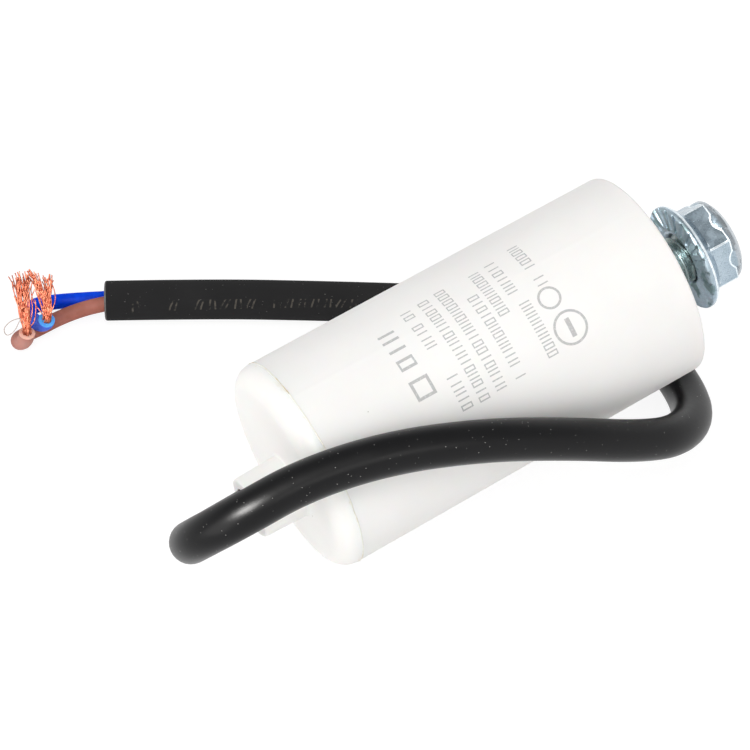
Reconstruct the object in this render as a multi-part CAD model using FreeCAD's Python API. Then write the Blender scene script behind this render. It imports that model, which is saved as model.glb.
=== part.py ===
"""Cylindrical motor capacitor: a moulded can with a glued cap, a stud and nut at
its closed end, a round two-core cable through the cap, and the film winding that
it holds inside.

Millimetres. The can is built along +X, with x = 0 at the cap's outer face and the
stud at the far end, and is then tilted: it lies on the cap's rim, and the closed
end rests on the cable that passes under it. +Z is up and z = 0 is the table.
"""
import FreeCAD
import Part
import math
import os

from FreeCAD import Placement, Rotation, Vector

# Case: a moulded can, open at the cap, with a little draft
CASE_MOUTH_DIA = 34.5
CASE_DRAFT = 0.25
CASE_LENGTH = 62.8
CASE_WALL = 1.5
CASE_BASE = 2.2
CASE_BASE_EDGE = 0.5
CASE_MOUTH_CHAMFER = 0.4

# Cap: a cover with a large rounded edge and a spigot that plugs into the case
CAP_HEIGHT = 3.5
CAP_EDGE = 3.2
CAP_PLATE = 2.2
SPIGOT_DEPTH = 4.0
SPIGOT_WALL = 1.4
GLUE_FILM = 0.12

# Boss for the cable, beside the middle of the cap
BOSS_ROOT_DIA = 10.4
BOSS_END_DIA = 10.0
BOSS_LENGTH = 7.5
BOSS_EDGE = 0.4
BOSS_ROOT_FILLET = 0.4
BOSS_OFFSET = 2.1
BOSS_TURN = 34.0

# Mounting stud, its head moulded into the base of the case
STUD_DIA = 8.0
STUD_LENGTH = 15.2
STUD_CHAMFER = 0.8
STUD_HEAD_FLATS = 13.0
STUD_HEAD_HEIGHT = 4.0
STUD_HEAD_COVER = 3.0
STUD_OFFSET = 0.8
STUD_TURN = 49.0
BASE_BOSS_DIA = 20.0
BASE_BOSS_HEIGHT = 6.0

# Serrated hexagon flange nut
NUT_FLATS = 13.0
NUT_HEIGHT = 8.0
NUT_GAP = 6.5
NUT_TURN = 11.3
NUT_FLANGE_DIA = 17.8
NUT_FLANGE_RIM = 1.1
NUT_FLANGE_TOP_DIA = 14.2
NUT_FLANGE_RISE = 1.5
NUT_FLANGE_ROUND = 0.45
NUT_BORE_CLEARANCE = 0.05
NUT_COUNTERSINK = 0.7
NUT_CORNER_ROUND = 0.1
NUT_FLATS_END = 5.2
NUT_RUN_OUT = 0.25
NUT_CORNERS_END = 6.1
NUT_CROWN_DIA = 10.4
SERRATION_COUNT = 24
SERRATION_DEPTH = 0.35
SERRATION_INNER_DIA = 11.0

# Film winding on its core tube, with a sprayed metal end at each side
WINDING_MARGIN = 1.5
WINDING_TO_CAP = 9.5
WINDING_TO_STUD = 6.3
CORE_TUBE_DIA = 6.6
CORE_TUBE_BORE = 4.4
CORE_TUBE_PROUD = 0.9
END_SPRAY = 0.6
END_SPRAY_MARGIN = 0.4
WRAP_THICKNESS = 0.3
WRAP_OVERHANG = 1.0
RESIN_TOP = 4.6

# Cable, its two cores and the stripped ends
CABLE_DIA = 6.6
CABLE_CLEARANCE = 0.1
CABLE_SEAT = 0.1
CORE_DIA = 2.5
CORE_SPACING = 2.6
CONDUCTOR_DIA = 1.2
SOLDER_DIA = 3.2
SOLDER_HEIGHT = 1.4
LEAD_SIDE_SHARE = 4 / 7
LEAD_RISE = 3.2
STRAND_DIA = 0.3
STRAND_PITCH = 0.33

# Route of the cable, from inside the case to its cut end on the table, and the
# places along X of the boss's end and of the base for which it was laid
BOSS_END_LAID = -44.282
BASE_LAID = 29.127
CABLE_ROUTE = [
    (-29.6, -1.74, 16.41), (-37.0, -1.73, 15.66), (-44.4, -1.76, 14.86),
    (-52.0, -1.8, 14.1), (-57.7, -5.2, 19.3), (-57.9, -10.0, 26.8),
    (-52.2, -13.4, 32.0), (-41.0, -13.4, 33.1), (-27.5, -15.4, 32.8),
    (-13.0, -18.8, 29.9), (1.0, -21.2, 23.9), (12.5, -22.6, 17.5),
    (20.8, -22.2, 12.7), (27.8, -17.9, 7.5), (31.8, -10.2, 3.3),
    (32.1, -1.5, 3.3), (28.0, 8.8, 3.3), (18.4, 18.3, 3.3),
    (5.4, 27.2, 3.3), (-9.7, 37.2, 3.3), (-23.7, 46.2, 3.3), (-39.1, 55.1, 3.3)]

# Routes of the two stripped cores, from the cut face of the jacket
BROWN_ROUTE = [
    (-39.4, 53.92, 3.86), (-42.9, 55.6, 3.5), (-46.8, 56.4, 2.4), (-50.6, 56.7, 1.5),
    (-54.0, 56.6, 1.3), (-55.1, 55.2, 2.9), (-54.0, 54.3, 5.0)]
BLUE_ROUTE = [
    (-38.2, 55.94, 2.74), (-42.0, 58.2, 2.4), (-46.0, 60.3, 2.0), (-49.6, 61.2, 2.4),
    (-51.2, 58.9, 3.6), (-50.6, 56.4, 4.7), (-49.7, 55.0, 6.1)]

# Tips of the copper strands at each core end
BROWN_TIPS = [
    (-52.3, 60.2, 12.9), (-51.9, 60.5, 11.2), (-51.3, 60.0, 13.4), (-50.8, 60.4, 12.0),
    (-50.2, 59.5, 13.6), (-49.6, 59.9, 12.4), (-49.3, 58.9, 13.2), (-52.8, 59.2, 12.2),
    (-52.0, 58.7, 13.0), (-50.9, 58.4, 13.7)]
BLUE_TIPS = [
    (-49.9, 59.3, 13.0), (-49.2, 59.8, 12.1), (-48.8, 58.6, 13.3), (-48.0, 59.1, 11.6),
    (-47.3, 57.0, 12.0), (-46.9, 57.8, 12.9), (-46.6, 56.6, 11.0), (-47.8, 56.2, 12.4),
    (-48.6, 57.3, 12.9), (-46.4, 57.2, 10.2)]

LENGTH = CAP_HEIGHT + CASE_LENGTH
CASE_BASE_DIA = CASE_MOUTH_DIA - 2 * CASE_DRAFT
WINDING_DIA = CASE_BASE_DIA - 2 * (CASE_WALL + WINDING_MARGIN)
LEAD_SIDE = LEAD_SIDE_SHARE * WINDING_DIA / 2
MOUTH_RADIUS = CASE_MOUTH_DIA / 2
BASE_RADIUS = CASE_BASE_DIA / 2
CAVITY_END = LENGTH - CASE_BASE
SPIGOT_END = CAP_HEIGHT + SPIGOT_DEPTH
WINDING_START = SPIGOT_END + WINDING_TO_CAP
WINDING_END = LENGTH - STUD_HEAD_COVER - STUD_HEAD_HEIGHT - WINDING_TO_STUD
NEAR_FACE = WINDING_START - END_SPRAY
FAR_FACE = WINDING_END + END_SPRAY
AXIS = Vector(1, 0, 0)


def case_radius(x):
    """Outer radius of the case at x."""
    share = (x - CAP_HEIGHT) / CASE_LENGTH
    return MOUTH_RADIUS + (BASE_RADIUS - MOUTH_RADIUS) * share


def cylinder(dia, start, end, centre=Vector(0, 0, 0)):
    """Cylinder along the can's axis from start to end."""
    return Part.makeCylinder(dia / 2, end - start, centre + Vector(start, 0, 0), AXIS)


def cone(dia_start, dia_end, start, end, centre=Vector(0, 0, 0)):
    """Frustum along the can's axis, or a cylinder where both diameters are equal."""
    if abs(dia_start - dia_end) < 1e-6:
        return cylinder(dia_start, start, end, centre)
    return Part.makeCone(dia_start / 2, dia_end / 2, end - start, centre + Vector(start, 0, 0), AXIS)


def hexagon(flats, start, end, centre, turn=0.0):
    """Hexagonal prism along the can's axis, a corner at the angle turn from +Y."""
    corner = flats / math.sqrt(3)
    points = []
    for step in range(7):
        angle = math.radians(turn + 60 * step)
        points.append(centre + Vector(start, corner * math.cos(angle), corner * math.sin(angle)))
    return Part.Face(Part.makePolygon(points)).extrude(Vector(end - start, 0, 0))


def rim_edges(shape, x, radius, centre=Vector(0, 0, 0)):
    """Circular edges of a shape at x with the given radius."""
    found = []
    for edge in shape.Edges:
        curve = edge.Curve
        if isinstance(curve, Part.Circle) and abs(curve.Radius - radius) < 1e-4:
            if (curve.Center - centre - Vector(x, 0, 0)).Length < 1e-4:
                found.append(edge)
    return found


def case_cavity(end):
    """Inside of the case from its mouth to end, with the mouth's chamfer."""
    wall = 2 * CASE_WALL
    space = cone(2 * MOUTH_RADIUS - wall, 2 * case_radius(end) - wall, CAP_HEIGHT, end)
    mouth = 2 * MOUTH_RADIUS - wall
    lip = cone(mouth + 2 * CASE_MOUTH_CHAMFER, mouth, CAP_HEIGHT, CAP_HEIGHT + CASE_MOUTH_CHAMFER)
    return space.fuse(lip)


def beside_axis(offset, turn):
    """Point beside the can's axis, turned down from -Y."""
    angle = math.radians(turn)
    return Vector(0, -offset * math.cos(angle), -offset * math.sin(angle))


def boss_centre():
    """Centre of the cable boss in the plane of the cap."""
    return beside_axis(BOSS_OFFSET, BOSS_TURN)


def stud_centre():
    """Centre of the stud, a little beside the can's axis as moulded."""
    return beside_axis(STUD_OFFSET, STUD_TURN)


def spigot_dia():
    return 2 * (case_radius(SPIGOT_END) - CASE_WALL - GLUE_FILM)


def make_stud():
    head_end = LENGTH - STUD_HEAD_COVER
    end = LENGTH + STUD_LENGTH
    centre = stud_centre()
    shank = cylinder(STUD_DIA, head_end - STUD_HEAD_HEIGHT / 2, end, centre)
    shank = shank.makeChamfer(STUD_CHAMFER, rim_edges(shank, end, STUD_DIA / 2, centre))
    head = hexagon(STUD_HEAD_FLATS, head_end - STUD_HEAD_HEIGHT, head_end, centre)
    return head.fuse(shank).removeSplitter()


def make_case(stud):
    shell = cone(CASE_MOUTH_DIA, CASE_BASE_DIA, CAP_HEIGHT, LENGTH)
    shell = shell.makeFillet(CASE_BASE_EDGE, rim_edges(shell, LENGTH, BASE_RADIUS))
    shell = shell.cut(case_cavity(CAVITY_END))
    boss = cylinder(BASE_BOSS_DIA, CAVITY_END - BASE_BOSS_HEIGHT, LENGTH - CASE_BASE / 2, stud_centre())
    return shell.fuse(boss).cut(stud).removeSplitter()


def make_cap():
    plate = cylinder(CASE_MOUTH_DIA, 0, CAP_HEIGHT)
    plate = plate.makeFillet(CAP_EDGE, rim_edges(plate, 0, MOUTH_RADIUS))
    spigot = cylinder(spigot_dia(), CAP_HEIGHT / 2, SPIGOT_END)
    hollow = cylinder(spigot_dia() - 2 * SPIGOT_WALL, CAP_PLATE, SPIGOT_END)
    centre = boss_centre()
    boss = cone(BOSS_END_DIA, BOSS_ROOT_DIA, -BOSS_LENGTH, 0, centre)
    boss = boss.makeFillet(BOSS_EDGE, rim_edges(boss, -BOSS_LENGTH, BOSS_END_DIA / 2, centre))
    cover = plate.fuse(spigot).cut(hollow).fuse(boss).removeSplitter()
    cover = cover.makeFillet(BOSS_ROOT_FILLET, rim_edges(cover, 0, BOSS_ROOT_DIA / 2, centre))
    return cover.cut(cylinder(CABLE_DIA + 2 * CABLE_CLEARANCE, -BOSS_LENGTH, CAP_PLATE, centre))


def make_glue():
    return case_cavity(SPIGOT_END).cut(cylinder(spigot_dia(), CAP_HEIGHT, SPIGOT_END))


def serration_cutters(face, centre):
    """Wedges that leave slanted ratchet teeth round the face of the flange."""
    step = 2 * math.pi / SERRATION_COUNT
    inner = SERRATION_INNER_DIA / 2
    outer = NUT_FLANGE_DIA / 2 + 1
    cutters = []
    for index in range(SERRATION_COUNT):
        start = index * step
        end = start + 0.86 * step
        sections = []
        for radius in (inner, outer):
            corners = [(face - 0.2, start), (face + SERRATION_DEPTH, start), (face - 0.2, end),
                       (face - 0.2, start)]
            sections.append(Part.makePolygon([
                centre + Vector(x, radius * math.cos(turn), radius * math.sin(turn))
                for x, turn in corners]))
        cutters.append(Part.makeLoft(sections, True, True))
    return Part.makeCompound(cutters)


def turned(profile, centre):
    """Solid turned about the can's axis from the (x, radius) points of its outline."""
    start, end = profile[0][0], profile[-1][0]
    points = [(start, 0)] + list(profile) + [(end, 0), (start, 0)]
    outline = Part.makePolygon([centre + Vector(x, radius, 0) for x, radius in points])
    return Part.Face(outline).revolve(centre, AXIS, 360)


def make_nut():
    centre = stud_centre()
    face = LENGTH + NUT_GAP
    top = face + NUT_HEIGHT
    rim_end = face + NUT_FLANGE_RIM
    flange = cylinder(NUT_FLANGE_DIA, face, rim_end, centre)
    flange = flange.makeFillet(NUT_FLANGE_ROUND, rim_edges(flange, face, NUT_FLANGE_DIA / 2, centre))
    slope = cone(NUT_FLANGE_DIA, NUT_FLANGE_TOP_DIA, rim_end, rim_end + NUT_FLANGE_RISE, centre)
    corner = NUT_FLATS / math.sqrt(3) - NUT_CORNER_ROUND
    collar = NUT_FLATS / 2 + NUT_RUN_OUT
    crown = NUT_CROWN_DIA / 2
    flats_end = face + NUT_FLATS_END
    corners_end = face + NUT_CORNERS_END
    rise = top - corners_end
    run_out = turned([(flats_end, NUT_FLATS / 2), (corners_end, collar), (top, collar)], centre)
    dome = turned([
        (rim_end, corner), (corners_end, corner),
        (corners_end + 0.58 * rise, crown + 0.62 * (corner - crown)),
        (corners_end + 0.88 * rise, crown + 0.25 * (corner - crown)), (top, crown)], centre)
    body = hexagon(NUT_FLATS, rim_end, corners_end, centre, NUT_TURN).fuse(run_out).common(dome)
    bore_dia = STUD_DIA + 2 * NUT_BORE_CLEARANCE
    sink = bore_dia + 2 * NUT_COUNTERSINK
    bore = cylinder(bore_dia, face, top, centre)
    bore = bore.fuse(cone(sink, bore_dia, face, face + NUT_COUNTERSINK, centre))
    bore = bore.fuse(cone(bore_dia, sink, top - NUT_COUNTERSINK, top, centre))
    nut = flange.fuse([slope, body]).cut(bore).cut(serration_cutters(face, centre))
    return nut.removeSplitter()


def make_winding():
    return cylinder(WINDING_DIA, WINDING_START, WINDING_END).cut(
        cylinder(CORE_TUBE_DIA, WINDING_START, WINDING_END))


def make_core_tube():
    start = NEAR_FACE - CORE_TUBE_PROUD
    end = FAR_FACE + CORE_TUBE_PROUD
    return cylinder(CORE_TUBE_DIA, start, end).cut(cylinder(CORE_TUBE_BORE, start, end))


def make_end_spray(start):
    end = start + END_SPRAY
    disc = cylinder(WINDING_DIA - 2 * END_SPRAY_MARGIN, start, end)
    return disc.cut(cylinder(CORE_TUBE_DIA, start, end))


def make_wrap():
    start = NEAR_FACE - WRAP_OVERHANG
    end = FAR_FACE + WRAP_OVERHANG
    sleeve = cylinder(WINDING_DIA + 2 * WRAP_THICKNESS, start, end)
    return sleeve.cut(cylinder(WINDING_DIA, start, end))


def rounded_path(points):
    """Straight runs joined by tangent arcs, each as large as its two runs allow."""
    edges = []
    radii = []
    last = points[0]
    for before, corner, after in zip(points, points[1:], points[2:]):
        back = before - corner
        ahead = after - corner
        setback = 0.45 * min(back.Length, ahead.Length)
        turn = math.pi - back.getAngle(ahead)
        radius = setback / math.tan(turn / 2)
        back.normalize()
        ahead.normalize()
        start = corner + back * setback
        end = corner + ahead * setback
        inward = back + ahead
        inward.normalize()
        middle = corner + inward * (radius / math.cos(turn / 2) - radius)
        edges.append(Part.LineSegment(last, start).toShape())
        edges.append(Part.Arc(start, middle, end).toShape())
        radii.append(radius)
        last = end
    edges.append(Part.LineSegment(last, points[-1]).toShape())
    return Part.Wire(edges), radii


def tube(name, points, dia):
    """Round tube along a rounded path, with its volume checked against its length."""
    points = [Vector(*point) for point in points]
    path, radii = rounded_path(points)
    section = Part.Wire(Part.makeCircle(dia / 2, points[0], points[1] - points[0]))
    solid = path.makePipeShell([section], True, False)
    wanted = math.pi * dia * dia / 4 * path.Length
    if dia > 1:
        print(name, "length", round(path.Length, 1), "volume share", round(solid.Volume / wanted, 4),
              "arc radii", [round(radius, 1) for radius in radii])
    return solid


def core_starts():
    """Places of the two cores in the cable's inner end, blue away from the axis."""
    outward = boss_centre()
    outward.normalize()
    shift = outward * (CORE_SPACING / 2)
    return boss_centre() + shift, boss_centre() - shift


def on_axis(x, centre):
    return (x, centre.y, centre.z)


def make_blue_lead(start_x, side):
    """Lead from the cable to the near end of the winding, and its bare end."""
    start, unused = core_starts()
    bend_x = (start_x + NEAR_FACE) / 2
    turn_x = NEAR_FACE - LEAD_RISE
    knee = (start + side) * 0.5
    insulation = tube("lead_blue", [
        on_axis(start_x, start), on_axis(bend_x, start), on_axis(turn_x, knee)], CORE_DIA)
    joint = on_axis(NEAR_FACE, side)
    before_joint = on_axis(NEAR_FACE - SOLDER_HEIGHT, side)
    bare = tube("conductor_blue", [on_axis(turn_x, knee), before_joint, joint], CONDUCTOR_DIA)
    return insulation, bare.cut(insulation)


def make_brown_lead(start_x, side):
    """Lead through the core tube to the far end of the winding, and its bare end."""
    unused, start = core_starts()
    tube_mouth = NEAR_FACE - CORE_TUBE_PROUD
    turn_x = FAR_FACE + CORE_TUBE_PROUD + CORE_DIA / 2 + 0.3
    bend_x = (start_x + tube_mouth) / 2
    middle = Vector(0, 0, 0)
    half_way = side * 0.6
    insulation = tube("lead_brown", [
        on_axis(start_x, start), on_axis(bend_x, start), on_axis(tube_mouth, middle),
        on_axis(turn_x, middle), on_axis(turn_x, half_way)], CORE_DIA)
    bare = tube("conductor_brown", [
        on_axis(turn_x, half_way), on_axis(turn_x, side), on_axis(FAR_FACE, side)], CONDUCTOR_DIA)
    return insulation, bare


def make_solder(face, side, towards, conductor):
    """Rounded solder joint on a sprayed end, round the bare wire."""
    centre = Vector(face, side.y, side.z)
    radius = (SOLDER_DIA * SOLDER_DIA / 4 + SOLDER_HEIGHT * SOLDER_HEIGHT) / (2 * SOLDER_HEIGHT)
    ball = Part.makeSphere(radius, centre + AXIS * (towards * (SOLDER_HEIGHT - radius)))
    if towards > 0:
        half_space = cylinder(4 * SOLDER_DIA, face, face + SOLDER_HEIGHT, side)
    else:
        half_space = cylinder(4 * SOLDER_DIA, face - SOLDER_HEIGHT, face, side)
    return ball.common(half_space).cut(conductor)


def make_resin(inside, stud_case):
    """Potting that fills the case round everything that it holds."""
    space = case_cavity(CAVITY_END)
    space = space.cut(cylinder(CASE_MOUTH_DIA, CAP_HEIGHT, RESIN_TOP))
    spigot = cylinder(spigot_dia(), CAP_HEIGHT, SPIGOT_END)
    spigot = spigot.cut(cylinder(spigot_dia() - 2 * SPIGOT_WALL, CAP_HEIGHT, SPIGOT_END))
    space = space.cut(case_cavity(SPIGOT_END).cut(cylinder(spigot_dia(), CAP_HEIGHT, SPIGOT_END)))
    space = space.cut(spigot).cut(stud_case)
    for piece in inside:
        space = space.cut(piece)
    return space.removeSplitter()


def strand_roots(route, count):
    """Places of the strands on the end face of a core, packed in rings."""
    end = Vector(*route[-1])
    way = end - Vector(*route[-2])
    way.normalize()
    side = way.cross(Vector(0, 0, 1))
    side.normalize()
    other = way.cross(side)
    roots = [end]
    ring = 0
    while len(roots) < count:
        ring += 1
        for step in range(6 * ring):
            angle = 2 * math.pi * step / (6 * ring)
            out = side * math.cos(angle) + other * math.sin(angle)
            roots.append(end + out * (ring * STRAND_PITCH))
    return roots[:count], way


def make_strands(route, tips):
    """Splayed copper strands that stand up from the end of a core."""
    roots, way = strand_roots(route, len(tips))
    order = sorted(range(len(tips)), key=lambda index: tips[index][0])
    roots = sorted(roots, key=lambda root: root.x)
    strands = []
    for root, index in zip(roots, order):
        tip = Vector(*tips[index])
        reach = (tip - root).Length
        knee = root + way * (0.35 * reach) + (tip - root) * 0.08
        strands.append(tube("strand", [tuple(root), tuple(knee), tuple(tip)], STRAND_DIA))
    return Part.makeCompound(strands)


def tilt_angle():
    """Tilt at which the cap's rim is on the table and the base edge on the cable."""
    along = LENGTH - CASE_BASE_EDGE - CAP_EDGE
    across = (MOUTH_RADIUS - CAP_EDGE) - (BASE_RADIUS - CASE_BASE_EDGE)
    rise = CABLE_DIA + CABLE_SEAT - CAP_EDGE + CASE_BASE_EDGE
    return math.asin(rise / math.hypot(along, across)) - math.atan2(across, along)


def resting_place(pieces):
    """Placement that tilts the can, stands it on the table and centres it."""
    turn = Rotation(Vector(0, 1, 0), -math.degrees(tilt_angle()))
    tilted = Part.makeCompound(pieces)
    tilted.Placement = Placement(Vector(0, 0, 0), turn)
    box = tilted.optimalBoundingBox(False, False)
    return Placement(Vector(-(box.XMin + box.XMax) / 2, 0, -box.ZMin), turn)


def laid(points, place, at=None):
    """Points of a route, moved along X with the can's two ends.

    Each point moves with the end that it is nearer to, in proportion, or with all
    the others as the point at, where one is given.
    """
    boss_end = place.multVec(Vector(-BOSS_LENGTH, 0, 0)).x - BOSS_END_LAID
    base = place.multVec(Vector(LENGTH, 0, 0)).x - BASE_LAID
    moved = []
    for x, y, z in points:
        share = ((at or (x,))[0] - BOSS_END_LAID) / (BASE_LAID - BOSS_END_LAID)
        moved.append((x + boss_end * (1 - share) + base * share, y, z))
    return moved


def main():
    stud = make_stud()
    case = make_case(stud)
    parts = {
        "case": case,
        "end_cap": make_cap(),
        "cap_glue": make_glue(),
        "mounting_stud": stud,
        "flange_nut": make_nut(),
        "film_winding": make_winding(),
        "winding_core_tube": make_core_tube(),
        "end_spray_cap_side": make_end_spray(NEAR_FACE),
        "end_spray_stud_side": make_end_spray(WINDING_END),
        "winding_wrap": make_wrap(),
    }
    place = resting_place([parts[name] for name in ("case", "end_cap", "mounting_stud", "flange_nut")])
    cable_route = laid(CABLE_ROUTE, place)
    cut_end = CABLE_ROUTE[-1]
    brown_route = laid(BROWN_ROUTE, place, cut_end)
    blue_route = laid(BLUE_ROUTE, place, cut_end)
    inner_end = place.inverse().multVec(Vector(*cable_route[0])).x
    blue_side = boss_centre()
    blue_side.normalize()
    blue_side = blue_side * LEAD_SIDE
    brown_side = blue_side * -1
    parts["lead_blue"], parts["conductor_blue"] = make_blue_lead(inner_end, blue_side)
    parts["lead_brown"], parts["conductor_brown"] = make_brown_lead(inner_end, brown_side)
    parts["solder_blue"] = make_solder(NEAR_FACE, blue_side, -1, parts["conductor_blue"])
    parts["solder_brown"] = make_solder(FAR_FACE, brown_side, 1, parts["conductor_brown"])
    inside = [cylinder(CORE_TUBE_DIA, NEAR_FACE - CORE_TUBE_PROUD, FAR_FACE + CORE_TUBE_PROUD)]
    inside.append(cylinder(WINDING_DIA, NEAR_FACE, FAR_FACE))
    for name in ("winding_wrap", "lead_blue", "conductor_blue", "lead_brown", "conductor_brown",
                 "solder_blue", "solder_brown"):
        inside.append(parts[name])
    parts["potting_resin"] = make_resin(inside, case.fuse(stud))
    for name in parts:
        parts[name].Placement = place.multiply(parts[name].Placement)
    parts["cable_jacket"] = tube("cable_jacket", cable_route, CABLE_DIA)
    jacket = parts["cable_jacket"]
    for name in ("potting_resin", "lead_blue", "lead_brown"):
        parts[name] = parts[name].cut(jacket)
    parts["core_brown_end"] = tube("core_brown_end", brown_route, CORE_DIA).cut(jacket)
    parts["core_blue_end"] = tube("core_blue_end", blue_route, CORE_DIA).cut(jacket)
    parts["strands_brown"] = make_strands(brown_route, laid(BROWN_TIPS, place, cut_end))
    parts["strands_blue"] = make_strands(blue_route, laid(BLUE_TIPS, place, cut_end))
    os.makedirs("parts", exist_ok=True)
    for name, shape in parts.items():
        shape.exportStep("parts/" + name + ".step")
        print(name, "solids", len(shape.Solids), "valid", shape.isValid(), "volume", round(shape.Volume, 1))
    print("placement", place, "inner end", round(inner_end, 3))


main()
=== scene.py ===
"""Cylindrical motor capacitor lying on a pale table: a white plastic can with a glued
cap, a stud and flange nut at its closed end, and a black cable whose two cores are
stripped to loose copper strands. Metres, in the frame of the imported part."""

import bmesh
import bpy
import math
import random

from mathutils import Matrix, Vector, noise


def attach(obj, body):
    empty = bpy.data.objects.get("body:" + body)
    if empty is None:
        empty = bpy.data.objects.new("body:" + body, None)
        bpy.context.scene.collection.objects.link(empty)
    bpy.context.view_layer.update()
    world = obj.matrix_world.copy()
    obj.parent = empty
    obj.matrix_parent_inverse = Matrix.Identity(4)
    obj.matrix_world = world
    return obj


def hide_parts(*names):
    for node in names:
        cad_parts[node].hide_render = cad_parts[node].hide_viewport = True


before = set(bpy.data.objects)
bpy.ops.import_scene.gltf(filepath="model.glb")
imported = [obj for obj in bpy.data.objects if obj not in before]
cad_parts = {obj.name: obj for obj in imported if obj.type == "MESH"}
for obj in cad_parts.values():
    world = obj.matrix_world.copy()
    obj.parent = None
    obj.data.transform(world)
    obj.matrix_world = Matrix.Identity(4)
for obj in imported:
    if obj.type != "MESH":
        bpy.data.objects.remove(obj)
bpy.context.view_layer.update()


# Camera: a long lens held above the object's left front, looking down at the can
# with its cap towards the lens, as the photograph was taken.
camera_data = bpy.data.cameras.new("camera")
camera_data.sensor_width = 36
camera_data.lens = 168
camera_data.clip_start = 0.01
camera = bpy.data.objects.new("camera", camera_data)
camera.location = (-0.19367, -0.28397, 0.44310)
camera.rotation_euler = Vector((0.3265, 0.5357, -0.7787)).to_track_quat("-Z", "Y").to_euler()
bpy.context.scene.collection.objects.link(camera)
bpy.context.scene.camera = camera


# Cable jacket: extruded black PVC round two cores, satin, with dust on it. It leaves
# the boss on the cap, turns back over the can, round the base and behind it.
CABLE_DIAMETER = 0.0066
CABLE_POINTS = [
    (-0.02960, -0.00174, 0.01641), (-0.03700, -0.00173, 0.01566), (-0.04440, -0.00176, 0.01486),
    (-0.05165, -0.00190, 0.01410), (-0.05695, -0.00560, 0.01930), (-0.05715, -0.01040, 0.02680),
    (-0.05190, -0.01355, 0.03200), (-0.04100, -0.01340, 0.03310), (-0.02750, -0.01540, 0.03280),
    (-0.01300, -0.01880, 0.02990), (0.00100, -0.02140, 0.02365), (0.01250, -0.02295, 0.01695),
    (0.02080, -0.02250, 0.01215), (0.02780, -0.01790, 0.00730), (0.03180, -0.00970, 0.00330),
    (0.03220, -0.00070, 0.00330), (0.02810, 0.00920, 0.00330), (0.01840, 0.01830, 0.00330),
    (0.00540, 0.02720, 0.00330), (-0.00970, 0.03720, 0.00330), (-0.02370, 0.04620, 0.00330),
    (-0.03870, 0.05487, 0.00330)]
BACK_RUN_START = CABLE_POINTS[18]
BACK_RUN_TURN = math.radians(147.9)
BACK_RUN_LENGTH = 0.052
STROKE_OFFSET = 0.0023
STROKE_PITCH = 0.0021
STROKE_HEIGHT = 0.00096
STROKES_FROM = 0.004
STROKES_TO = 0.048


class Wire:
    """A shader value, with the arithmetic of Math nodes."""

    def __init__(self, finish, socket):
        self.finish = finish
        self.socket = socket

    def maths(self, operation, *values):
        inputs = dict(enumerate(values))
        return self.finish.node("ShaderNodeMath", {"operation": operation}, inputs)

    def __add__(self, other):
        return self.maths("ADD", self, other)

    def __sub__(self, other):
        return self.maths("SUBTRACT", self, other)

    def __rsub__(self, other):
        return self.maths("SUBTRACT", other, self)

    def __mul__(self, other):
        return self.maths("MULTIPLY", self, other)

    def __truediv__(self, other):
        return self.maths("DIVIDE", self, other)

    def __gt__(self, other):
        return self.maths("GREATER_THAN", self, other)

    def __lt__(self, other):
        return self.maths("LESS_THAN", self, other)

    def floor(self):
        return self.maths("FLOOR", self)

    def part(self):
        return self.maths("FRACT", self)

    def size(self):
        return self.maths("ABSOLUTE", self)

    def root(self):
        return self.maths("SQRT", self)

    def largest(self, other):
        return self.maths("MAXIMUM", self, other)

    def smallest(self, other):
        return self.maths("MINIMUM", self, other)

    def stretch(self, low, high, to_low=0.0, to_high=1.0):
        """This value eased from low..high to to_low..to_high."""
        settings = {"interpolation_type": "SMOOTHSTEP"}
        inputs = {"Value": self, "From Min": low, "From Max": high, "To Min": to_low, "To Max": to_high}
        return self.finish.node("ShaderNodeMapRange", settings, inputs)

    __radd__ = __add__
    __rmul__ = __mul__


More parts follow.
